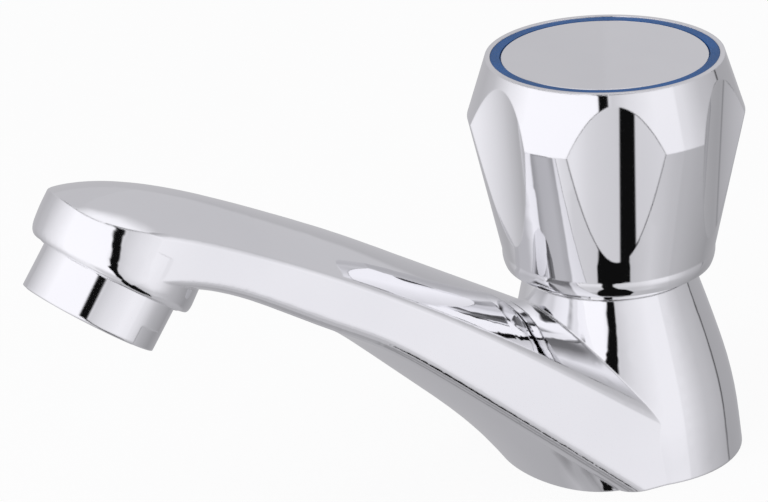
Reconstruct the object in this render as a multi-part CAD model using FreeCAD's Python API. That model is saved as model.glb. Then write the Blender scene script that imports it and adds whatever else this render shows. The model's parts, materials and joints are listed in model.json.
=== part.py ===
import FreeCAD, Part
import math
import os

# A cold-water pillar tap: fluted crown handle on a bell-shaped body with a long crowned spout.
# Millimetres. The valve axis is +Z, the basin's deck is the plane z = 0, the spout points along -Y.

V = FreeCAD.Vector

# Body: circles round an axis that leans back a little towards the base
base_radius = 22.5
base_setback = 2.85
bell_height = 36.4
neck_rise = 5.0
bell_profile = [
    (0.0, 0.0), (8.9, -0.4), (15.6, -1.2), (22.3, -2.6), (29.0, -4.3), (34.0, -5.65), (36.4, -6.3)]
neck_radius = 16.0

# Spout: the outlet's place and tilt, and the swelling boss above it as (height, radius, shift forward)
outlet_reach = 105.1
outlet_height = 60.7
outlet_tilt = 35.0
boss_length = 8.0
boss_profile = [
    (0.0, 15.1, 0.1), (0.5, 15.5, 0.28), (1.4, 15.76, 0.48), (2.8, 15.85, 0.68), (4.8, 15.88, 0.86),
    (7.5, 15.88, 0.96), (11.0, 15.88, 1.0), (17.0, 15.87, 0.9), (26.0, 15.86, 0.6),
]
spout_root_half_width = 20.5

# Sections across the nose: (ahead of the outlet's axis, half width, top bevel)
nose_sections = [(-17.0, 11.0, 0.3), (0.0, 15.85, 0.7)]
nose_low_rounding = 1.2

# Sections across the arm: (share of the way back, lean, half width, extra width below, top bevel,
# lower rounding)
arm_way_end = 10.0
arm_sections = [
    (0.15, 25.0, 16.0, 0.0, 0.6, 1.6),
    (0.30, 16.0, 16.7, 0.0, 0.6, 2.0),
    (0.45, 10.0, 17.65, 0.05, 0.7, 2.3),
    (0.60, 5.0, 18.6, 0.15, 0.8, 2.6),
    (0.76, 1.0, 19.6, 0.25, 0.9, 2.9),
]
shoulder_y = -16.0
shoulder_shape = (0.5, 1.0, 3.0)
root_heights = (10.0, 12.0)
root_inset = 0.03
root_shape = (0.8, 3.0)

# Four lines of the spout in side view as (y, height) points: those near the tip count from the outlet's
# centre, those near the body from the valve axis at the deck, and a rise lifts the middle between them
crown_tip = [(-17.3, 15.2), (-8.6, 16.5), (-3.3, 16.4), (5.2, 14.7), (15.2, 11.6), (26.2, 6.5), (37.7, 0.9)]
crown_body = [(-16.8, 32.8), (3.0, 21.4)]
crown_rise = 0.3
edge_tip = [(-13.9, 12.5), (-6.8, 12.1), (0.5, 11.3), (7.2, 9.9), (15.2, 6.5), (25.2, 1.6)]
edge_body = [(-20.0, 25.8), (3.0, 8.9)]
edge_rise = 1.9
low_tip = [
    (-17.2, 10.2), (-9.0, 8.0), (-3.5, 5.4), (1.5, 2.5), (7.2, 1.7), (13.2, -0.8), (25.2, -7.9),
    (38.7, -15.3),
]
low_body = [(-20.0, 8.7), (3.0, -9.4)]
low_rise = 1.2
belly_tip = [
    (-20.2, 6.8), (-11.7, 4.1), (-6.3, 1.4), (-1.2, -1.7), (6.2, -2.5), (12.7, -3.8), (25.2, -9.3),
]
belly_body = [(-42.6, 22.7), (-30.0, 10.5), (-25.0, 4.0), (-16.0, -7.5), (3.0, -31.0)]
belly_rise = 2.2

# Aerator: M24 x 1 thread
collar_radius = 13.65
collar_length = 8.8
collar_rounding = 0.5
outlet_thread_radius = 12.0
outlet_thread_length = 7.0
outlet_chamber_radius = 10.2
outlet_chamber_length = 4.0
aerator_bore_radius = 10.6
aerator_lip_radius = 9.7
aerator_lip = 0.8
aerator_seal_thickness = 1.0
aerator_seal_lip = 1.2
key_recess_depth = 0.8
key_recess_height = 3.7
key_recess_angles = (5.0, 59.4)
key_recess_wide_angle = 81.0
cartridge_top = 2.6
screen_thickness = 0.5
screen_pitch = 1.9
screen_wire = 0.5
straightener_thickness = 2.0
straightener_pitch = 2.5
straightener_wall = 0.5

# Waterway and seat
port_radius = 4.5
port_height = 15.0
tail_bore_radius = 6.0
seat_radius = 7.6
seat_bore_radius = 5.5
seat_height = 13.0
seat_rim = 1.5
chamber_radius = 9.0

# Inlet tail: G 1/2 thread, pitch 1.814
tail_thread_radius = 10.48
tail_length = 48.0
tail_chamfer = 1.0
tail_groove_below_nut = 1.0
tail_groove_width = 1.2
tail_groove_depth = 0.6
tail_socket_depth = 8.0
tail_seal_thickness = 1.0
tail_seal_radius = 9.0
tail_seal_wall = 2.0

# Deck fixing
gasket_thickness = 1.5
gasket_outer_radius = 19.0
gasket_inner_radius = 12.5
deck_gap = 14.0
soft_washer_thickness = 3.0
hard_washer_thickness = 1.5
deck_washer_radius = 18.0
back_nut_thickness = 9.0
back_nut_flats = 27.0
back_nut_collar_radius = 15.0
back_nut_collar = 1.5

# Headwork
bonnet_thread_radius = 10.0
bonnet_thread_depth = 13.0
bonnet_seal_thickness = 1.0
bonnet_seal_radius = 13.5
bonnet_hexagon = 24.0
bonnet_hexagon_height = 6.0
hexagon_chamfer_share = 0.1
bonnet_neck_radius = 8.2
bonnet_neck_height = 9.0
guide_length = 5.5
guide_radius = 8.4
plunger_flats = 12.4
collar_seat_drop = 2.0
collar_bore_radius = 6.5

# Spindle and plunger
spindle_radius = 4.5
spindle_collar_thickness = 2.5
spindle_thread_radius = 3.8
spindle_thread_length = 13.8
friction_ring_thickness = 0.8
o_ring_wire = 0.9
wire_sides = 8
o_ring_drops = (5.5, 9.5)
circlip_gap = 0.4
circlip_thickness = 0.8
circlip_radius = 6.6
circlip_groove = 0.6
spline_relief = 1.8
spline_length = 9.0
spline_teeth = 20
spline_root_radius = 3.5
spline_tip_radius = 4.0
screw_radius = 2.0
screw_depth = 8.0
plunger_length = 15.0
plunger_floor = 3.0
valve_washer_thickness = 3.0
jumper_radius = 7.2
jumper_thickness = 2.0
washer_cup_radius = 6.9
washer_screw_head_radius = 2.6
washer_screw_head = 1.0
washer_screw_radius = 1.5

# Handle
handle_lift = 2.1
handle_height = 41.0
handle_ridge_drop = 11.4
handle_ridge_radius = 26.0
handle_top_radius = 22.4
handle_rim_rise = 2.9
handle_low_radius = 20.15
handle_rim_radius = 19.6
handle_bore_radius = 17.6
handle_plate = 4.0
handle_hub_radius = 9.5
handle_hub_gap = 0.5
flute_count = 6
flute_radius = 23.4
flute_top_radius = 23.1
flute_top_drop = 1.9
flute_bottom_radius = 21.1
flute_bottom_rise = 6.9
flute_first_angle = 31.0

# Index cap and ring
index_recess = 3.0
ring_outer_radius = 21.4
ring_inner_radius = 19.6
cap_thickness = 2.0
cap_chamfer = 0.3
cap_leg_gap = 1.8
cap_slot_width = 2.5
cap_leg_radius = 6.6
cap_leg_wall = 1.0
insert_radius = 6.6
insert_flange = 0.8
screw_head_radius = 3.6
screw_head_height = 2.4
screw_head_chamfer = 0.6
screw_well_radius = 7.8

# Clearances
fit_gap = 0.05
thread_gap = 0.04
seat_gap = 0.3
cap_gap = 0.15

# Heights that follow from the sizes above
neck_height = bell_height + neck_rise
bonnet_thread_bottom = neck_height - bonnet_thread_depth
guide_bottom = bonnet_thread_bottom - guide_length
bonnet_seal_top = neck_height + bonnet_seal_thickness
bonnet_shoulder = bonnet_seal_top + bonnet_hexagon_height
bonnet_top = bonnet_shoulder + bonnet_neck_height
collar_seat_height = neck_height - collar_seat_drop
collar_low = collar_seat_height + seat_gap
collar_high = collar_low + spindle_collar_thickness
spindle_foot = collar_low - spindle_thread_length
circlip_height = bonnet_top + circlip_gap
spline_bottom = circlip_height + circlip_thickness + spline_relief
spline_top = spline_bottom + spline_length
insert_top = spline_top + insert_flange
o_ring_heights = [bonnet_top - drop for drop in o_ring_drops]
jumper_bottom = seat_height + valve_washer_thickness
plunger_bottom = jumper_bottom + jumper_thickness
plunger_top = plunger_bottom + plunger_length
handle_bottom = bell_height + handle_lift
handle_top = handle_bottom + handle_height
handle_ridge_height = handle_top - handle_ridge_drop
handle_low_height = handle_bottom + handle_rim_rise
handle_hub_bottom = spline_bottom - handle_hub_gap
clamp_top = -deck_gap
plate_top = clamp_top - soft_washer_thickness
nut_top = plate_top - hard_washer_thickness
nut_low = nut_top - back_nut_thickness


def cylinder(radius, low, high):
    return Part.makeCylinder(radius, high - low, V(0, 0, low))


def tube(outer, inner, low, high):
    return cylinder(outer, low, high).cut(cylinder(inner, low - 1, high + 1))


def hexagon(flats, low, high):
    corner = flats / math.sqrt(3)
    turns = [math.radians(60 * k) for k in range(7)]
    points = [V(corner * math.cos(turn), corner * math.sin(turn), low) for turn in turns]
    return Part.Face(Part.makePolygon(points)).extrude(V(0, 0, high - low))


def hexagon_chamfer(flats, plain_end, chamfered_end):
    """A turned blank that takes the corners off one end of a hexagon."""
    corner = flats / math.sqrt(3)
    inner = corner * (1 - hexagon_chamfer_share)
    rise = (corner - inner) * 0.55 * math.copysign(1, plain_end - chamfered_end)
    reach = corner + 0.1
    sloped = [(0, chamfered_end), (inner, chamfered_end), (reach, chamfered_end + rise)]
    return revolved(sloped + [(reach, plain_end), (0, plain_end)])


def revolved(points):
    """Turns a closed outline of (radius, height) points about the Z axis."""
    outline = Part.makePolygon([V(r, 0, z) for r, z in points] + [V(points[0][0], 0, points[0][1])])
    return Part.Face(outline).revolve(V(0, 0, 0), V(0, 0, 1), 360)


def ring_wire(radius, wire, height):
    """A round ring, its wire drawn with a few flat sides."""
    turns = [2 * math.pi * k / wire_sides for k in range(wire_sides)]
    return revolved([(radius + wire * math.cos(turn), height + wire * math.sin(turn)) for turn in turns])


# The outlet's own frame: origin at the centre of the spout's rim, +Z up into the spout
tilt = math.radians(outlet_tilt)
outlet_centre = V(0, -outlet_reach, outlet_height)
outlet_axis = V(0, math.sin(tilt), math.cos(tilt))
outlet_place = FreeCAD.Placement(outlet_centre, FreeCAD.Rotation(V(1, 0, 0), -outlet_tilt))


def at_outlet(shape):
    moved = shape.copy()
    moved.Placement = outlet_place.multiply(moved.Placement)
    return moved


def bell_centre(height):
    return base_setback * (1 - height / bell_height)


def bell_radius(height):
    for (z0, r0), (z1, r1) in zip(bell_profile, bell_profile[1:]):
        if height <= z1:
            return base_radius + r0 + (r1 - r0) * (height - z0) / (z1 - z0)
    return base_radius + bell_profile[-1][1]


def bell():
    circles = []
    for height, change in bell_profile:
        centre = V(0, bell_centre(height), height)
        circles.append(Part.Wire(Part.makeCircle(base_radius + change, centre, V(0, 0, 1))))
    flare = Part.makeLoft(circles, True, False)
    neck = cylinder(neck_radius, bell_height - 1, neck_height)
    return flare.fuse(neck)


def curve(points):
    """A smooth side-view line through (y, z) points."""
    spline = Part.BSplineCurve()
    spline.interpolate([V(0, y, z) for y, z in points])
    return spline.toShape()


def spout_line(tip, body, rise):
    """A side-view line from its points near the tip, a lifted middle and its points at the body."""
    first = [(y - outlet_reach, z + outlet_height) for y, z in tip]
    y = (first[-1][0] + body[0][0]) / 2
    z = (first[-1][1] + body[0][1]) / 2
    return curve(first + [(y, z + rise)] + body)


crown_line = spout_line(crown_tip, crown_body, crown_rise)
edge_line = spout_line(edge_tip, edge_body, edge_rise)
low_line = spout_line(low_tip, low_body, low_rise)
belly_line = spout_line(belly_tip, belly_body, belly_rise)


def on_line(line, foot, lean):
    """The point of a side-view line that a leaning section plane through the point foot meets."""
    way = V(0, math.sin(lean), math.cos(lean))
    ray = Part.makeLine(foot - way * outlet_height, foot + way * outlet_height)
    return line.distToShape(ray)[1][0][0]


def across(point, x):
    return V(x, point.y, point.z)


def spout_section(foot, lean, half_width, lean_in, bevel, round_low):
    """One closed outline across the spout: crowned top, eased edges, straight sides, rounded belly."""
    way = V(0, math.sin(lean), math.cos(lean))
    crown = on_line(crown_line, foot, lean)
    edge = on_line(edge_line, foot, lean)
    low = on_line(low_line, foot, lean)
    belly = on_line(belly_line, foot, lean)
    drop = (crown - edge).Length
    top_circle = (half_width ** 2 + drop ** 2) / (2 * drop)
    inner = half_width - bevel
    crown_end = crown - way * (top_circle - math.sqrt(top_circle ** 2 - inner ** 2))
    wall_top = edge - way * bevel
    wall_low = low + way * round_low
    low_width = half_width + lean_in
    low_end = low - way * (round_low * 0.35)
    low_inner = low_width - round_low * 0.9

    def side(sign):
        top = across(crown_end, sign * inner)
        ease = across(edge - way * bevel * 0.22, sign * (half_width - bevel * 0.22))
        wall_start = across(wall_top, sign * half_width)
        wall_end = across(wall_low, sign * low_width)
        turn = across(low + way * round_low * 0.12, sign * (low_width - round_low * 0.22))
        foot_end = across(low_end, sign * low_inner)
        return top, ease, wall_start, wall_end, turn, foot_end

    right = side(1)
    left = side(-1)
    edges = [
        Part.Arc(left[0], crown, right[0]).toShape(),
        Part.Arc(right[0], right[1], right[2]).toShape(),
        Part.makeLine(right[2], right[3]),
        Part.Arc(right[3], right[4], right[5]).toShape(),
        Part.Arc(right[5], belly, left[5]).toShape(),
        Part.Arc(left[5], left[4], left[3]).toShape(),
        Part.makeLine(left[3], left[2]),
        Part.Arc(left[2], left[1], left[0]).toShape(),
    ]
    return Part.Wire(edges)


def spout_stations():
    """Section planes: (foot point, lean, half width, extra width below, top bevel, lower rounding)."""
    way = V(0, math.cos(tilt), -math.sin(tilt))
    span = outlet_reach - arm_way_end
    stations = []
    for ahead, half_width, bevel in nose_sections:
        stations.append((outlet_centre + way * ahead, tilt, half_width, 0.0, bevel, nose_low_rounding))
    for share, lean, half_width, widen, bevel, round_low in arm_sections:
        foot = V(0, -outlet_reach + span * share, outlet_height * (1 - share))
        stations.append((foot, math.radians(lean), half_width, widen, bevel, round_low))
    root_width = bell_radius(root_heights[1])
    root_widen = bell_radius(0.0) - root_width
    root_foot = V(0, bell_centre(root_heights[0]), 0.0)
    stations.append((V(0, shoulder_y, 0.0), 0.0, spout_root_half_width) + shoulder_shape)
    stations.append((root_foot, 0.0, root_width - root_inset, root_widen) + root_shape)
    return stations


def outlet_boss():
    """Circles round the outlet's axis, swelling and shifting forward with height."""
    circles = []
    for height, radius, shift in boss_profile:
        circles.append(Part.Wire(Part.makeCircle(radius, V(0, -shift, height), V(0, 0, 1))))
    return at_outlet(Part.makeLoft(circles, True, False))


def spout():
    """The arm is trimmed in front by the boss's swelling form, and cut off below at the outlet's rim."""
    sections = [spout_section(*station) for station in spout_stations()]
    arm = Part.makeLoft(sections, True, False)
    swelling = outlet_boss()
    past = 3 * outlet_thread_radius
    widest = max(shift for height, radius, shift in boss_profile)
    ahead = at_outlet(Part.makeBox(2 * past, past, 2 * past, V(-past, -past - widest, -past)))
    boss = swelling.common(at_outlet(cylinder(past, 0, boss_length)))
    below_rim = at_outlet(Part.makeBox(2 * past, 1.4 * past, past, V(-past, -past, -past)))
    return arm.cut(ahead.cut(swelling)).fuse(boss).cut(below_rim)


def tap_body():
    reach = 2 * outlet_reach
    above_deck = Part.makeBox(2 * reach, 2 * reach, reach, V(-reach, -reach, 0))
    solid = bell().fuse(spout()).common(above_deck)
    port_end = outlet_centre + outlet_axis * (outlet_thread_length + outlet_chamber_length / 2)
    port_start = V(0, 0, port_height)
    port = Part.makeCylinder(port_radius, (port_end - port_start).Length, port_start, port_end - port_start)
    socket = at_outlet(cylinder(outlet_thread_radius, -1, outlet_thread_length))
    pocket = at_outlet(cylinder(outlet_chamber_radius, 0, outlet_thread_length + outlet_chamber_length))
    chamber = cylinder(chamber_radius, seat_height - seat_rim, bonnet_thread_bottom)
    seat = cylinder(seat_radius, seat_height - seat_rim, seat_height)
    bonnet_bore = cylinder(bonnet_thread_radius, bonnet_thread_bottom, neck_height + 1)
    tail_socket = cylinder(tail_thread_radius, -1, tail_socket_depth)
    inlet = cylinder(seat_bore_radius, 0, seat_height + 1)
    gasket_recess = cylinder(gasket_outer_radius + fit_gap, -1, gasket_thickness)
    hollow = chamber.fuse([bonnet_bore, port])
    solid = solid.cut(hollow)
    solid = solid.fuse(seat)
    return solid.cut([socket, pocket, tail_socket, inlet, gasket_recess]).removeSplitter()


def inlet_tail():
    """The tail pipe, with a groove between the deck nut's thread and the supply connector's."""
    radius = tail_thread_radius - thread_gap
    top = tail_socket_depth - tail_seal_thickness
    end = -tail_length
    chamfer = [(0, end), (radius - tail_chamfer, end), (radius, end + tail_chamfer)]
    outside = revolved(chamfer + [(radius, top), (0, top)])
    groove_top = nut_low - tail_groove_below_nut
    groove = tube(radius + 1, radius - tail_groove_depth, groove_top - tail_groove_width, groove_top)
    return outside.cut([cylinder(tail_bore_radius, end - 1, top + 1), groove])


def tail_seal_ring():
    inner = tail_seal_radius - tail_seal_wall
    return tube(tail_seal_radius, inner, tail_socket_depth - tail_seal_thickness, tail_socket_depth)


def base_gasket():
    return tube(gasket_outer_radius, gasket_inner_radius, 0, gasket_thickness)


def deck_washer_rubber():
    return tube(deck_washer_radius, tail_thread_radius + seat_gap, plate_top, clamp_top)


def deck_washer_plate():
    return tube(deck_washer_radius, tail_thread_radius + seat_gap, nut_top, plate_top)


def back_nut():
    collar = cylinder(back_nut_collar_radius, nut_top - back_nut_collar, nut_top)
    body = hexagon(back_nut_flats, nut_low, nut_top - back_nut_collar)
    bore = cylinder(tail_thread_radius + fit_gap, nut_low - 1, nut_top + 1)
    return body.common(hexagon_chamfer(back_nut_flats, nut_top, nut_low)).fuse(collar).cut(bore)


def headwork_body():
    """The bonnet: guide and thread in the body, hexagon above it, neck round the spindle."""
    guide = cylinder(guide_radius, guide_bottom, bonnet_thread_bottom)
    thread = cylinder(bonnet_thread_radius - thread_gap, bonnet_thread_bottom, bonnet_seal_top)
    head = hexagon(bonnet_hexagon, bonnet_seal_top, bonnet_shoulder)
    head = head.common(hexagon_chamfer(bonnet_hexagon, bonnet_seal_top, bonnet_shoulder))
    neck = cylinder(bonnet_neck_radius, bonnet_shoulder, bonnet_top)
    solid = guide.fuse([thread, head, neck])
    plunger_bore = hexagon(plunger_flats + 2 * fit_gap, guide_bottom - 1, collar_seat_height)
    ring_top = collar_high + friction_ring_thickness
    collar_bore = cylinder(collar_bore_radius, collar_seat_height - 0.01, ring_top)
    stem_bore = cylinder(spindle_radius + fit_gap, collar_high, bonnet_top + 1)
    return solid.cut([plunger_bore, collar_bore, stem_bore]).removeSplitter()


def headwork_seal():
    return tube(bonnet_seal_radius, bonnet_thread_radius + fit_gap, neck_height, bonnet_seal_top)


def spline_outline(root, tip, height):
    """A toothed outline with straight flanks, one tooth for each equal share of the circle."""
    step = 2 * math.pi / spline_teeth
    points = []
    for tooth in range(spline_teeth):
        for radius, share in ((root, -0.32), (tip, -0.16), (tip, 0.16), (root, 0.32)):
            angle = (tooth + share) * step
            points.append(V(radius * math.cos(angle), radius * math.sin(angle), height))
    return Part.Face(Part.makePolygon(points + points[:1]))


def spindle():
    foot = cylinder(spindle_thread_radius, spindle_foot, collar_low)
    collar = cylinder(collar_bore_radius - fit_gap, collar_low, collar_high)
    stem = cylinder(spindle_radius, collar_high, spline_bottom)
    spline = spline_outline(spline_root_radius, spline_tip_radius, spline_bottom)
    splined = spline.extrude(V(0, 0, spline_top - spline_bottom))
    solid = foot.fuse([collar, stem, splined])
    clip_floor = spindle_radius - circlip_groove
    cuts = [tube(spindle_radius + 1, clip_floor, circlip_height, circlip_height + circlip_thickness)]
    ring_floor = spindle_radius + fit_gap - 2 * o_ring_wire
    half_width = o_ring_wire + 0.1
    for height in o_ring_heights:
        cuts.append(tube(spindle_radius + 1, ring_floor, height - half_width, height + half_width))
    cuts.append(cylinder(screw_radius, spline_top - screw_depth, spline_top + 1))
    return solid.cut(cuts)


def spindle_o_rings():
    centre = spindle_radius + fit_gap - o_ring_wire
    return Part.makeCompound([ring_wire(centre, o_ring_wire - 0.02, height) for height in o_ring_heights])


def spindle_friction_ring():
    inner = spindle_radius + fit_gap
    return tube(collar_bore_radius - fit_gap, inner, collar_high, collar_high + friction_ring_thickness)


def spindle_circlip():
    high = circlip_height + circlip_thickness
    inner = spindle_radius - circlip_groove + fit_gap
    ring = tube(circlip_radius, inner, circlip_height + 0.02, high - 0.02)
    half = spindle_radius - 1.6
    mouth = Part.makeBox(10, 2 * half, 4, V(0, -half, circlip_height - 1))
    return ring.cut(mouth)


def valve_plunger():
    shank = hexagon(plunger_flats, plunger_bottom, plunger_top)
    jumper = cylinder(jumper_radius, jumper_bottom, plunger_bottom)
    thread = cylinder(spindle_thread_radius + fit_gap, plunger_bottom + plunger_floor, plunger_top + 1)
    screw_hole = cylinder(washer_screw_radius, jumper_bottom - 1, plunger_bottom + plunger_floor)
    return shank.fuse(jumper).cut([thread, screw_hole])


def valve_washer():
    washer = tube(washer_cup_radius, washer_screw_radius + fit_gap, seat_height, jumper_bottom)
    head_top = seat_height + washer_screw_head
    head_hole = cylinder(washer_screw_head_radius + fit_gap, seat_height - 1, head_top)
    return washer.cut(head_hole)


def valve_washer_screw():
    head = cylinder(washer_screw_head_radius, seat_height, seat_height + washer_screw_head)
    head_top = seat_height + washer_screw_head
    shank = cylinder(washer_screw_radius, head_top, plunger_bottom + plunger_floor - 1)
    reach = washer_screw_head_radius + 0.5
    width = washer_screw_radius / 2
    slot = Part.makeBox(2 * reach, width, washer_screw_head / 2, V(-reach, -width / 2, seat_height))
    return head.fuse(shank).cut(slot)


def handle_outside():
    """The turned form: a short cone above the ridge, a long one below it, a rounded foot."""
    top = V(handle_top_radius, 0, handle_top)
    ridge = V(handle_ridge_radius, 0, handle_ridge_height)
    low = V(handle_low_radius, 0, handle_low_height)
    foot = V(handle_rim_radius, 0, handle_bottom)
    bulge = V((handle_low_radius + handle_rim_radius) / 2 + 0.2, 0, (handle_low_height + handle_bottom) / 2)
    outline = [
        Part.makeLine(V(0, 0, handle_top), top),
        Part.makeLine(top, ridge),
        Part.makeLine(ridge, low),
        Part.Arc(low, bulge, foot).toShape(),
        Part.makeLine(foot, V(0, 0, handle_bottom)),
        Part.makeLine(V(0, 0, handle_bottom), V(0, 0, handle_top)),
    ]
    return Part.Face(Part.Wire(outline)).revolve(V(0, 0, 0), V(0, 0, 1), 360)


def flute_cutter(angle):
    """A large leaning cylinder whose near side scoops one flute."""
    low = V(flute_bottom_radius, 0, handle_bottom + flute_bottom_rise)
    way = V(flute_top_radius, 0, handle_top - flute_top_drop) - low
    way.normalize()
    outward = V(way.z, 0, -way.x)
    start = low + outward * flute_radius - way * handle_height
    cutter = Part.makeCylinder(flute_radius, 3 * handle_height, start, way)
    cutter.rotate(V(0, 0, 0), V(0, 0, 1), angle)
    return cutter


def handle_shell():
    solid = handle_outside()
    step = 360 / flute_count
    flutes = [flute_cutter(flute_first_angle + step * k) for k in range(flute_count)]
    solid = solid.cut(flutes)
    recess_floor = handle_top - index_recess
    cavity = tube(handle_bore_radius, handle_hub_radius, handle_bottom - 1, recess_floor - handle_plate)
    below_hub = cylinder(handle_bore_radius, handle_bottom - 1, handle_hub_bottom)
    recess = cylinder(ring_outer_radius + fit_gap, recess_floor, handle_top + 1)
    well = cylinder(screw_well_radius, insert_top, handle_top)
    insert_bore = cylinder(insert_radius + fit_gap, handle_hub_bottom - 1, spline_top + 1)
    return solid.cut([cavity, below_hub, recess, well, insert_bore]).removeSplitter()


def handle_spline_insert():
    low = handle_hub_bottom + handle_hub_gap
    bush = cylinder(insert_radius, low, insert_top)
    hole = spline_outline(spline_root_radius + fit_gap, spline_tip_radius + fit_gap, low - 1)
    spindle_relief = cylinder(spindle_radius + seat_gap, low - 1, spline_bottom + 0.5)
    screw_hole = cylinder(screw_radius + fit_gap, low, insert_top + 1)
    return bush.cut([hole.extrude(V(0, 0, spline_top - low + 1)), spindle_relief, screw_hole])


def handle_screw():
    seat = insert_top
    head = cylinder(screw_head_radius, seat, seat + screw_head_height)
    head = head.makeChamfer(screw_head_chamfer, [head.Edges[0]])
    shank = cylinder(screw_radius - thread_gap, spline_top - screw_depth + 1, seat)
    cross = Part.makeBox(4.4, 0.9, 1.6, V(-2.2, -0.45, seat + screw_head_height - 1.3))
    turned = cross.copy()
    turned.rotate(V(0, 0, 0), V(0, 0, 1), 90)
    return head.fuse(shank).cut([cross, turned])


def index_ring():
    low = handle_top - index_recess
    return tube(ring_outer_radius, ring_inner_radius, low, handle_top - cap_gap)


def index_cap():
    low = handle_top - index_recess
    top = handle_top - cap_gap
    radius = ring_inner_radius - fit_gap
    disc = cylinder(radius, top - cap_thickness, top)
    disc = disc.makeChamfer(cap_chamfer, [disc.Edges[0]])
    rim = tube(radius, radius - 1.5, low, top - cap_thickness)
    leg_foot = insert_top + cap_leg_gap
    leg = tube(cap_leg_radius, cap_leg_radius - cap_leg_wall, leg_foot, top - cap_thickness)
    reach = 2 * cap_leg_radius
    corner = V(-cap_slot_width / 2, -reach, leg_foot - 1)
    slot = Part.makeBox(cap_slot_width, 2 * reach, low - leg_foot + 1, corner)
    return disc.fuse([rim, leg.cut(slot)])


def key_recess(turn):
    """A stepped recess for a spanner in the collar's wall, wider below."""
    def sector(first, last, low, high):
        section = Part.Face(Part.makePolygon([
            V(collar_radius - key_recess_depth, 0, low), V(collar_radius + 1, 0, low),
            V(collar_radius + 1, 0, high), V(collar_radius - key_recess_depth, 0, high),
            V(collar_radius - key_recess_depth, 0, low)]))
        section.rotate(V(0, 0, 0), V(0, 0, 1), 90 - last + turn)
        return section.revolve(V(0, 0, 0), V(0, 0, 1), last - first)

    tall = sector(key_recess_angles[0], key_recess_angles[1], -collar_length - 1, -0.4)
    recess_top = -collar_length + key_recess_height
    wide = sector(key_recess_angles[0], key_recess_wide_angle, -collar_length - 1, recess_top)
    return tall.fuse(wide)


def aerator_housing():
    collar = cylinder(collar_radius, -collar_length, 0)
    collar = collar.makeFillet(collar_rounding, [collar.Edges[2]])
    thread = cylinder(outlet_thread_radius - thread_gap, 0, outlet_thread_length - aerator_seal_thickness)
    bore = cylinder(aerator_bore_radius, -collar_length + aerator_lip, outlet_thread_length)
    mouth = cylinder(aerator_lip_radius, -collar_length - 1, 0)
    return at_outlet(collar.fuse(thread).cut([bore, mouth, key_recess(0), key_recess(180)]))


def aerator_seal():
    outer = outlet_thread_radius - 2 * fit_gap
    inner = outlet_chamber_radius - aerator_seal_lip
    low = outlet_thread_length - aerator_seal_thickness
    return at_outlet(tube(outer, inner, low, outlet_thread_length))


def honeycomb(radius, pitch, wall, low, high):
    """Six-sided holes on a triangular grid, as one cutter."""
    holes = []
    rows = int(radius / pitch) + 1
    cell = hexagon(pitch - wall, low - 1, high + 1)
    cell.rotate(V(0, 0, 0), V(0, 0, 1), 30)
    for row in range(-rows, rows + 1):
        for column in range(-2 * rows, 2 * rows + 1):
            x = pitch * (column + row / 2)
            y = pitch * row * math.sqrt(3) / 2
            if math.hypot(x, y) < radius - pitch * 0.6:
                holes.append(cell.translated(V(x, y, 0)))
    return Part.makeCompound(holes)


def flow_straightener():
    low = -collar_length + aerator_lip
    high = low + straightener_thickness
    disc = cylinder(aerator_bore_radius - fit_gap, low, high)
    cells = honeycomb(aerator_lip_radius, straightener_pitch, straightener_wall, low, high)
    return at_outlet(disc.cut(cells))


def aerator_cartridge():
    low = -collar_length + aerator_lip + straightener_thickness
    high = outlet_thread_length - cartridge_top
    radius = aerator_bore_radius - fit_gap
    wall = tube(radius, radius - 1.0, low, high)
    plate = cylinder(radius - 1.0, high - 2.4, high - 1.2)
    plate = plate.cut(honeycomb(radius - 1.5, 4.0, 1.6, high - 2.4, high - 1.2))
    return at_outlet(wall.fuse(plate))


def aerator_screen():
    low = outlet_thread_length - cartridge_top
    disc = cylinder(aerator_bore_radius - fit_gap, low, low + screen_thickness)
    top = low + screen_thickness
    return at_outlet(disc.cut(honeycomb(aerator_bore_radius - 0.6, screen_pitch, screen_wire, low, top)))


makers = [
    tap_body, inlet_tail, tail_seal_ring, base_gasket, deck_washer_rubber, deck_washer_plate, back_nut,
    headwork_body, headwork_seal, spindle, spindle_o_rings, spindle_friction_ring, spindle_circlip,
    valve_plunger, valve_washer, valve_washer_screw, handle_shell, handle_spline_insert, handle_screw,
    index_ring, index_cap, aerator_housing, aerator_seal, aerator_cartridge, aerator_screen,
    flow_straightener,
]

os.makedirs("parts", exist_ok=True)
for maker in makers:
    shape = maker()
    name = maker.__name__
    solids = len(shape.Solids)
    print(f"{name}: {solids} solids, volume {shape.Volume:.1f}, valid {shape.isValid()}")
    shape.exportStep(f"parts/{name}.step")
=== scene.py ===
import json
import math

import bpy
from mathutils import Matrix, Vector


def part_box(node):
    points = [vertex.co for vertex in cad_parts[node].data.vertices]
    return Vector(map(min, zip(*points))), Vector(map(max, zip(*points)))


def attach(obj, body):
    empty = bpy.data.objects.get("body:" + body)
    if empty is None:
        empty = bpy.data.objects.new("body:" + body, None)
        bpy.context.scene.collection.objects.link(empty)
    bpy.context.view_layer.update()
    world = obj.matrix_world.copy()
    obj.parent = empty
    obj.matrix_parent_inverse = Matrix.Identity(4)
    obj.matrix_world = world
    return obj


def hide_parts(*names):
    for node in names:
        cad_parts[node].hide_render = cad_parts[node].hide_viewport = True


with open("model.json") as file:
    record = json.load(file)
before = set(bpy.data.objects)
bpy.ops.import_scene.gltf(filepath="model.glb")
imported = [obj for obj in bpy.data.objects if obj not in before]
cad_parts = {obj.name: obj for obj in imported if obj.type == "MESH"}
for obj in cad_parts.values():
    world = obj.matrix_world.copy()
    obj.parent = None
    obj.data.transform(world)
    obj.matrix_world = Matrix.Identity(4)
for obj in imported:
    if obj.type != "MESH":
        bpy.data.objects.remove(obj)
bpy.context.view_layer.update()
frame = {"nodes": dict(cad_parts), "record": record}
nodes = frame["nodes"]
print("frame loaded:", len(nodes), "nodes")

bpy.context.scene.view_settings.view_transform = "Standard"

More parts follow.
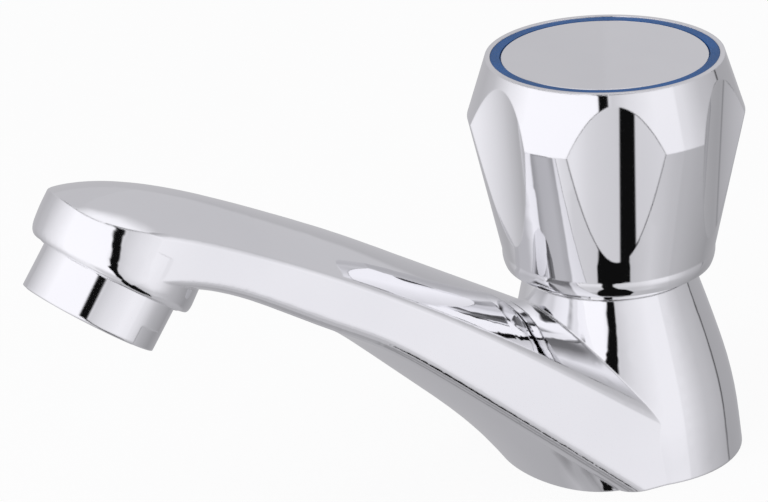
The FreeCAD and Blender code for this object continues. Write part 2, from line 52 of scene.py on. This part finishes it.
# Camera
# The photograph's viewing angle: metres, degrees, millimetres of lens
cameraSettings = {
    "place": (0.66293131, -0.43298432, 0.35725926),
    "heading": 149.92855,  # compass of the view, from +X towards +Y
    "pitch": -21.75351,
    "roll": -2.32,
    "lens": 210.94,
    "sensor": 36.0,
    "nearest": 0.01,
}


def makeCamera(settings):
    heading = math.radians(settings["heading"])
    pitch = math.radians(settings["pitch"])
    roll = math.radians(settings["roll"])
    level = math.cos(pitch)
    forward = Vector((level * math.cos(heading), level * math.sin(heading), math.sin(pitch)))
    side = forward.cross(Vector((0, 0, 1))).normalized()
    rise = side.cross(forward)
    right = side * math.cos(roll) + rise * math.sin(roll)
    up = rise * math.cos(roll) - side * math.sin(roll)
    data = bpy.data.cameras.new("photoCamera")
    data.lens = settings["lens"]
    data.sensor_width = settings["sensor"]
    data.clip_start = settings["nearest"]
    camera = bpy.data.objects.new("photoCamera", data)
    turn = Matrix((right, up, -forward)).transposed().to_4x4()
    camera.matrix_world = Matrix.Translation(settings["place"]) @ turn
    bpy.context.scene.collection.objects.link(camera)
    bpy.context.scene.camera = camera


makeCamera(cameraSettings)
print("camera placed")


# Node helpers
def addNode(tree, kind, x, y, **values):
    node = tree.nodes.new(kind)
    node.location = (x, y)
    for name, value in values.items():
        setattr(node, name, value)
    return node


def setSockets(node, **values):
    for name, value in values.items():
        node.inputs[name].default_value = value


def freshMaterial(name):
    material = bpy.data.materials.new(name)
    material.use_nodes = True
    tree = material.node_tree
    tree.nodes.clear()
    output = addNode(tree, "ShaderNodeOutputMaterial", 600, 0)
    shader = addNode(tree, "ShaderNodeBsdfPrincipled", 300, 0)
    tree.links.new(shader.outputs["BSDF"], output.inputs["Surface"])
    return material, tree, shader


def objectPoint(tree, stretch=(1, 1, 1)):
    # Object coordinates in metres, stretched for marks that run one way
    place = addNode(tree, "ShaderNodeTexCoord", -1200, 0)
    mapping = addNode(tree, "ShaderNodeMapping", -1000, 0)
    mapping.inputs["Scale"].default_value = stretch
    tree.links.new(place.outputs["Object"], mapping.inputs["Vector"])
    return mapping.outputs["Vector"]


def noiseFrom(tree, vector, scale, detail, roughness, x, y):
    noise = addNode(tree, "ShaderNodeTexNoise", x, y)
    setSockets(noise, Scale=scale, Detail=detail, Roughness=roughness)
    tree.links.new(vector, noise.inputs["Vector"])
    return noise.outputs["Fac"]


def rampFrom(tree, factor, stops, x, y):
    ramp = addNode(tree, "ShaderNodeValToRGB", x, y)
    elements = ramp.color_ramp.elements
    while len(elements) < len(stops):
        elements.new(0.5)
    for element, (position, colour) in zip(elements, stops):
        element.position = position
        element.color = (*colour, 1)
    tree.links.new(factor, ramp.inputs["Fac"])
    return ramp.outputs["Color"]


noiseSpan = (0.3, 0.7)  # where nearly all of a noise's values lie


def rangeFrom(tree, factor, low, high, x, y):
    span = addNode(tree, "ShaderNodeMapRange", x, y)
    least, most = noiseSpan
    setSockets(span, **{"From Min": least, "From Max": most, "To Min": low, "To Max": high})
    tree.links.new(factor, span.inputs["Value"])
    return span.outputs["Result"]


bevelSamples = 6


def bumpFrom(tree, height, strength, distance, edge, x, y):
    bump = addNode(tree, "ShaderNodeBump", x, y)
    setSockets(bump, Strength=strength, Distance=distance)
    tree.links.new(height, bump.inputs["Height"])
    if edge > 0:
        bevel = addNode(tree, "ShaderNodeBevel", x - 200, y - 200, samples=bevelSamples)
        bevel.inputs["Radius"].default_value = edge
        tree.links.new(bevel.outputs["Normal"], bump.inputs["Normal"])
    return bump.outputs["Normal"]


# Finishes
# Clouds and marks give a noise's scale, detail and roughness; bump its strength and its height in metres
chromeFinish = {
    "metallic": 1.0,
    "shine": 0.5,
    "bright": (0.93, 0.93, 0.945),
    "dull": (0.89, 0.89, 0.91),
    "stops": (0.3, 0.75),
    "clouds": (38.0, 3, 0.5),
    "marks": (900.0, 4, 0.6),
    "stretch": (1, 1, 6),
    "polish": (0.02, 0.05),  # roughness where cleanest and where most rubbed
    "bump": (0.02, 0.00002),
    "edge": 0.0005,  # metres over which sharp edges look rounded
}

brassFinish = {
    "metallic": 1.0,
    "shine": 0.5,
    "bright": (0.80, 0.62, 0.33),
    "dull": (0.60, 0.44, 0.21),
    "stops": (0.35, 0.72),
    "clouds": (120.0, 5, 0.5),
    "marks": (1600.0, 3, 0.5),
    "stretch": (0.05, 0.05, 1),  # rings left by turning
    "polish": (0.20, 0.38),
    "bump": (0.25, 0.00003),
    "edge": 0.0002,
}

steelFinish = {
    **brassFinish,
    "bright": (0.66, 0.66, 0.67),
    "dull": (0.50, 0.50, 0.52),
    "clouds": (200.0, 5, 0.5),
    "marks": (2200.0, 3, 0.5),
    "polish": (0.18, 0.32),
    "edge": 0.0001,
}

blueFinish = {
    "metallic": 0.0,
    "shine": 0.22,
    "bright": (0.004, 0.100, 0.34),
    "dull": (0.008, 0.080, 0.25),
    "stops": (0.3, 0.7),
    "clouds": (90.0, 4, 0.5),
    "marks": (2600.0, 2, 0.5),
    "stretch": (1, 1, 1),
    "polish": (0.30, 0.42),
    "bump": (0.15, 0.00004),
    "edge": 0.0,
}

whiteFinish = {
    **blueFinish,
    "shine": 0.5,
    "bright": (0.83, 0.83, 0.80),
    "dull": (0.74, 0.74, 0.70),
    "clouds": (130.0, 4, 0.5),
    "marks": (3000.0, 2, 0.5),
    "polish": (0.40, 0.56),
}

rubberFinish = {
    **blueFinish,
    "shine": 0.5,
    "bright": (0.030, 0.030, 0.032),
    "dull": (0.052, 0.050, 0.048),
    "clouds": (220.0, 4, 0.5),
    "marks": (3600.0, 2, 0.5),
    "polish": (0.60, 0.85),
}


def makeFinish(name, finish):
    material, tree, shader = freshMaterial(name)
    shader.inputs["Metallic"].default_value = finish["metallic"]
    shader.inputs["Specular IOR Level"].default_value = finish["shine"]
    clouds = noiseFrom(tree, objectPoint(tree), *finish["clouds"], -800, 200)
    colours = list(zip(finish["stops"], (finish["bright"], finish["dull"])))
    colour = rampFrom(tree, clouds, colours, -500, 200)
    tree.links.new(colour, shader.inputs["Base Color"])
    marks = noiseFrom(tree, objectPoint(tree, finish["stretch"]), *finish["marks"], -800, -100)
    roughness = rangeFrom(tree, marks, *finish["polish"], -500, -100)
    tree.links.new(roughness, shader.inputs["Roughness"])
    normal = bumpFrom(tree, marks, *finish["bump"], finish["edge"], -200, -300)
    tree.links.new(normal, shader.inputs["Normal"])
    return material


finishes = {
    "chrome": makeFinish("polishedChrome", chromeFinish),
    "brass": makeFinish("machinedBrass", brassFinish),
    "steel": makeFinish("brightSteel", steelFinish),
    "blue_plastic": makeFinish("blueMoulding", blueFinish),
    "white_plastic": makeFinish("whiteMoulding", whiteFinish),
    "rubber": makeFinish("blackRubber", rubberFinish),
}
print("finishes made:", len(finishes))

slotOf = {part["node"]: part["material_slot"] for part in frame["record"]["subparts"]}
hiddenBelow = 0.002  # metres: what a basin would hide doesn't show in the chrome


def dressNode(name, node):
    node.data.materials.clear()
    node.data.materials.append(finishes[slotOf[name]])
    for face in node.data.polygons:
        face.material_index = 0


for name, node in nodes.items():
    dressNode(name, node)
    node.visible_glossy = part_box(name)[1].z > hiddenBelow
print("nodes dressed")


# Threaded tail
tailThread = {
    "pitch": 0.001814,
    "crest": 0.01044,
    "root": 0.00930,
    "bore": 0.0060,
    "low": -0.048,
    "high": 0.007,
    "groove": (-0.0297, -0.0285),  # heights between which the tail has no thread
    "runIn": 1.5,  # turns over which the thread rises to its full depth
    "profile": (0.0, 0.25, 0.8, 1.0, 1.0, 0.8, 0.25, 0.0),  # share of the depth, row by row
    "sidesRound": 56,
    "flat": 1e-7,  # metres: faces lower than this are left out
}


def makeThreadedTail(sizes):
    sides = sizes["sidesRound"]
    profile = sizes["profile"]
    rows = len(profile)
    pitch = sizes["pitch"]
    depth = sizes["crest"] - sizes["root"]
    turns = int((sizes["high"] - sizes["low"]) / pitch) + 2

    def threadRadius(row, height):
        radius = sizes["root"] + depth * profile[row % rows]
        ramp = (height - sizes["low"]) / (sizes["runIn"] * pitch)
        radius = min(radius, sizes["root"] + depth * min(max(ramp, 0), 1))
        if sizes["groove"][0] <= height <= sizes["groove"][1]:
            radius = sizes["root"]
        return radius

    # The thread's rows, cut off at both ends
    points = []
    rowCount = rows * turns
    for row in range(rowCount + 1):
        for side in range(sides + 1):
            height = sizes["low"] + pitch * (row / rows + side / sides - 1)
            height = min(max(height, sizes["low"]), sizes["high"])
            radius = threadRadius(row, height)
            turn = 2 * math.pi * side / sides
            points.append((radius * math.cos(turn), radius * math.sin(turn), height))
    faces = []
    for row in range(rowCount):
        for side in range(sides):
            first = row * (sides + 1) + side
            corners = (first, first + 1, first + sides + 2, first + sides + 1)
            heights = [points[k][2] for k in corners]
            if max(heights) - min(heights) > sizes["flat"]:
                faces.append(corners)

    # The bore and the two ends
    ringLow = len(points)
    for radius, height in ((sizes["bore"], sizes["low"]), (sizes["bore"], sizes["high"]),
                           (sizes["root"], sizes["low"]), (sizes["root"], sizes["high"])):
        for side in range(sides):
            turn = 2 * math.pi * side / sides
            points.append((radius * math.cos(turn), radius * math.sin(turn), height))
    for side in range(sides):
        after = (side + 1) % sides
        inLow, inHigh, outLow, outHigh = (ringLow + k * sides for k in range(4))
        faces.append((inLow + after, inLow + side, inHigh + side, inHigh + after))
        faces.append((inLow + side, inLow + after, outLow + after, outLow + side))
        faces.append((inHigh + after, inHigh + side, outHigh + side, outHigh + after))

    mesh = bpy.data.meshes.new("threadedTail")
    mesh.from_pydata(points, [], faces)
    mesh.update()
    tail = bpy.data.objects.new("threadedTail", mesh)
    bpy.context.scene.collection.objects.link(tail)
    mesh.materials.append(finishes["brass"])
    tail.visible_glossy = False
    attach(tail, "tap")
    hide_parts("inlet_tail")


makeThreadedTail(tailThread)
print("threaded tail made")


# Studio
# What polished chrome sees round it: half the degrees from the camera's side, and the brightness there
studioSettings = {
    "cameraSide": -33.15,
    "tint": (1.0, 0.992, 1.035),
    "walls": [
        (-90, 0.725), (-70, 0.70), (-61, 0.745), (-49, 0.895), (-37, 0.985), (-5, 0.98), (3, 0.80),
        (10, 0.87), (22, 0.935), (30, 0.935), (41, 0.81), (47, 0.745), (60.1, 0.685), (60.7, 0.22),
        (61.3, 0.22), (61.9, 0.64), (77, 0.655), (90, 0.725),
    ],
    # Rings below the walls: elevations where they begin and where they are full
    "rings": [
        {"from": (-13, -32), "bands": [
            (-90, 0.69), (-70, 0.66), (-58, 0.78), (-40, 0.90), (-26, 0.93), (-19, 0.81), (-7, 0.79),
            (12, 0.81), (17, 0.83), (24, 0.89), (31, 0.88), (36, 0.83), (47, 0.71), (65, 0.60),
            (90, 0.65)]},
        {"from": (-27, -38), "bands": [
            (-90, 0.69), (-70, 0.66), (-58, 0.78), (-40, 0.90), (-26, 0.92), (-19, 0.81), (-7, 0.78),
            (14, 0.75), (25, 0.80), (36, 0.73), (65, 0.58), (90, 0.65)]},
        {"from": (-46, -53), "bands": [
            (-90, 0.68), (-66, 0.66), (-50, 0.72), (-12, 0.72), (4, 0.60), (19, 0.72), (90, 0.65)]},
        {"from": (-72, -82), "bands": [
            (-90, 0.66), (-67, 0.53), (-43, 0.65), (-15, 0.65), (6, 0.54), (20, 0.62), (90, 0.65)]},
    ],
    # The dark strip beside the camera: elevation, left edge, right edge
    "strip": [
        (-69, 3, 3), (-66, -9.5, 18), (-55, -9, 17.5), (-50, -8, 15), (-45, -7, 12.5), (-40, -6, 10),
        (-35, -3.4, 5), (-30, -3.9, 3.4), (-25, -4.3, 1.9), (-10, -3.2, 1.8), (-4, -4.2, 1.6),
        (0, -4.6, 1.8), (2, -3.1, 2.4), (3.2, -2.2, 2.6), (10, -2.2, 2), (15, -3.6, 1.1),
        (18, -4, -0.3), (20, -4.6, -1.2), (23, -6.4, -3.2),
    ],
    "stripReach": 30,
    "stripShade": 0.055,
    "stripSoft": 0.5,
    # Overhead: begins lower at the back than in front; its limits are sines of the elevation
    "canopy": [
        (-90, 0.745), (-76, 0.73), (-68, 0.80), (-61, 0.70), (-55, 0.40), (-48, 0.20), (-34, 0.22),
        (-20, 0.12), (-15, 0.15), (-13, 0.90), (-6, 0.93), (-4, 0.42), (8, 0.45), (20, 0.70),
        (30, 0.76), (90, 0.755),
    ],
    "canopyLean": 0.45,
    "canopyFrom": (0.53, 0.60),
    "zenith": [
        (-90, 0.97), (-80, 0.72), (-61, 0.86), (-47, 0.83), (-36, 0.92), (-13, 0.97), (-10, 0.38),
        (-5, 0.28), (4, 0.46), (13, 0.48), (19, 0.74), (40, 0.72), (66, 0.62), (72, 0.95), (90, 0.97),
    ],
    "zenithFrom": (43, 57),
}


halfReach = 90  # half the degrees from the camera's side to the one straight across


def sineOf(tilt):
    return math.sin(math.radians(tilt))


def linearValue(shade):
    # From the brightness on a screen to that of light
    return shade / 12.92 if shade <= 0.04045 else ((shade + 0.055) / 1.055) ** 2.4


def makeStudio(settings):
    world = bpy.data.worlds.new("studio")
    bpy.context.scene.world = world
    world.use_nodes = True
    tree = world.node_tree
    tree.nodes.clear()

    def mathNode(operation, x, y, first, second, third=None):
        node = addNode(tree, "ShaderNodeMath", x, y, operation=operation)
        for socket, value in zip(node.inputs, (first, second, third)):
            if isinstance(value, (int, float)):
                socket.default_value = value
            elif value is not None:
                tree.links.new(value, socket)
        return node.outputs["Value"]

    def easeFrom(value, low, high, x, y):
        span = addNode(tree, "ShaderNodeMapRange", x, y, interpolation_type="SMOOTHSTEP")
        setSockets(span, **{"From Min": low, "From Max": high})
        tree.links.new(value, span.inputs["Value"])
        return span.outputs["Result"]

    def shadeColour(shade):
        level = linearValue(shade) / chromeFinish["bright"][0]
        return tuple(level * tint for tint in settings["tint"])

    def bandColour(bands, x, y):
        stops = [((angle + halfReach) / (2 * halfReach), shadeColour(shade)) for angle, shade in bands]
        return rampFrom(tree, share, stops, x, y)

    def blend(factor, below, above, x, y):
        node = addNode(tree, "ShaderNodeMix", x, y, data_type="RGBA")
        tree.links.new(factor, node.inputs["Factor"])
        tree.links.new(below, node.inputs["A"])
        if isinstance(above, tuple):
            node.inputs["B"].default_value = (*above, 1)
        else:
            tree.links.new(above, node.inputs["B"])
        return node.outputs["Result"]

    place = addNode(tree, "ShaderNodeTexCoord", -1400, 0)
    turned = addNode(tree, "ShaderNodeVectorRotate", -1200, 0, rotation_type="Z_AXIS")
    turned.inputs["Angle"].default_value = -math.radians(settings["cameraSide"])
    tree.links.new(place.outputs["Generated"], turned.inputs["Vector"])
    parts = addNode(tree, "ShaderNodeSeparateXYZ", -1000, 0)
    tree.links.new(turned.outputs["Vector"], parts.inputs["Vector"])
    ahead, height = parts.outputs["X"], parts.outputs["Z"]
    compass = mathNode("ARCTAN2", -800, 100, parts.outputs["Y"], ahead)
    share = mathNode("MULTIPLY_ADD", -600, 100, compass, 1 / (2 * math.pi), 0.5)

    colour = bandColour(settings["walls"], -200, 300)
    for count, ring in enumerate(settings["rings"]):
        first, full = (sineOf(tilt) for tilt in ring["from"])
        factor = easeFrom(mathNode("MULTIPLY", -400, -200, height, -1), -first, -full, -200, -200)
        colour = blend(factor, colour, bandColour(ring["bands"], -200, 0), 200 * count, 0)

    # Both edges of the strip travel with the elevation, red for the left and green for the right
    reach = settings["stripReach"]
    stops = []
    for tilt, *sides in settings["strip"]:
        red, green = ((side + reach) / (2 * reach) for side in sides)
        stops.append(((sineOf(tilt) + 1) / 2, (red, green, 0)))
    edges = addNode(tree, "ShaderNodeSeparateColor", 0, -500)
    lifted = mathNode("MULTIPLY_ADD", -400, -500, height, 0.5, 0.5)
    tree.links.new(rampFrom(tree, lifted, stops, -200, -500), edges.inputs["Color"])
    angle = mathNode("MULTIPLY_ADD", -400, -800, share, 2 * halfReach, -halfReach)
    left = mathNode("MULTIPLY_ADD", 200, -500, edges.outputs["Red"], 2 * reach, -reach)
    right = mathNode("MULTIPLY_ADD", 200, -700, edges.outputs["Green"], 2 * reach, -reach)
    soft = settings["stripSoft"]
    pastLeft = easeFrom(mathNode("SUBTRACT", 400, -500, angle, left), -soft, soft, 600, -500)
    beforeRight = easeFrom(mathNode("SUBTRACT", 400, -700, right, angle), -soft, soft, 600, -700)
    inside = mathNode("MULTIPLY", 800, -600, pastLeft, beforeRight)
    colour = blend(inside, colour, shadeColour(settings["stripShade"]), 800, 0)

    behind = mathNode("MINIMUM", -600, 600, ahead, 0)
    leaning = mathNode("MULTIPLY_ADD", -400, 600, behind, -settings["canopyLean"], height)
    covered = easeFrom(leaning, *settings["canopyFrom"], -200, 600)
    colour = blend(covered, colour, bandColour(settings["canopy"], -200, 900), 1000, 0)
    risen = easeFrom(height, *(sineOf(tilt) for tilt in settings["zenithFrom"]), -200, 1200)
    colour = blend(risen, colour, bandColour(settings["zenith"], 0, 1200), 1200, 0)

    # The camera itself sees plain white behind the tap
    light = addNode(tree, "ShaderNodeBackground", 1400, 100)
    tree.links.new(colour, light.inputs["Color"])
    backdrop = addNode(tree, "ShaderNodeBackground", 1400, -100)
    setSockets(backdrop, Color=(1, 1, 1, 1), Strength=1.0)
    rays = addNode(tree, "ShaderNodeLightPath", 1400, 400)
    choose = addNode(tree, "ShaderNodeMixShader", 1700, 0)
    tree.links.new(rays.outputs["Is Camera Ray"], choose.inputs["Fac"])
    tree.links.new(light.outputs["Background"], choose.inputs[1])
    tree.links.new(backdrop.outputs["Background"], choose.inputs[2])
    output = addNode(tree, "ShaderNodeOutputWorld", 1900, 0)
    tree.links.new(choose.outputs["Shader"], output.inputs["Surface"])


makeStudio(studioSettings)

lampSettings = {
    "place": (0.25, -0.55, 0.75),
    "aim": (0.0, -0.04, 0.02),
    "size": 0.7,
    "power": 2.2,
}


def makeLamp(settings):
    data = bpy.data.lights.new("softLamp", "AREA")
    data.size = settings["size"]
    data.energy = settings["power"]
    lamp = bpy.data.objects.new("softLamp", data)
    lamp.location = settings["place"]
    way = Vector(settings["aim"]) - Vector(settings["place"])
    lamp.rotation_euler = way.to_track_quat("-Z", "Y").to_euler()
    lamp.visible_glossy = False
    bpy.context.scene.collection.objects.link(lamp)


makeLamp(lampSettings)

floorSettings = {
    "size": 3.0,
    "height": -0.00005,
    "shade": (0.97, 0.97, 0.97),
    "glow": 0.92,  # share of the floor's white that doesn't depend on the light
}


def makeFloor(settings):
    half = settings["size"] / 2
    mesh = bpy.data.meshes.new("basinDeck")
    corners = [(-half, -half), (half, -half), (half, half), (-half, half)]
    mesh.from_pydata([(x, y, settings["height"]) for x, y in corners], [], [(0, 1, 2, 3)])
    floor = bpy.data.objects.new("basinDeck", mesh)
    bpy.context.scene.collection.objects.link(floor)
    material = bpy.data.materials.new("paleDeck")
    material.use_nodes = True
    tree = material.node_tree
    tree.nodes.clear()
    output = addNode(tree, "ShaderNodeOutputMaterial", 800, 0)

    matt = addNode(tree, "ShaderNodeBsdfDiffuse", 0, 100)
    matt.inputs["Color"].default_value = (*settings["shade"], 1)
    white = addNode(tree, "ShaderNodeEmission", 0, -100)
    setSockets(white, Color=(1, 1, 1, 1), Strength=1.0)
    blend = addNode(tree, "ShaderNodeMixShader", 200, 0)
    blend.inputs["Fac"].default_value = settings["glow"]
    tree.links.new(matt.outputs["BSDF"], blend.inputs[1])
    tree.links.new(white.outputs["Emission"], blend.inputs[2])

    # Seen by the camera from above only: reflections and the view from below look through it
    clear = addNode(tree, "ShaderNodeBsdfTransparent", 200, -200)
    rays = addNode(tree, "ShaderNodeLightPath", 0, 500)
    side = addNode(tree, "ShaderNodeNewGeometry", 0, 300)
    fromAbove = addNode(tree, "ShaderNodeMath", 200, 300, operation="SUBTRACT", use_clamp=True)
    tree.links.new(rays.outputs["Is Camera Ray"], fromAbove.inputs[0])
    tree.links.new(side.outputs["Backfacing"], fromAbove.inputs[1])
    shown = addNode(tree, "ShaderNodeMixShader", 500, 0)
    tree.links.new(fromAbove.outputs["Value"], shown.inputs["Fac"])
    tree.links.new(clear.outputs["BSDF"], shown.inputs[1])
    tree.links.new(blend.outputs["Shader"], shown.inputs[2])
    tree.links.new(shown.outputs["Shader"], output.inputs["Surface"])
    mesh.materials.append(material)


makeFloor(floorSettings)
print("studio made")
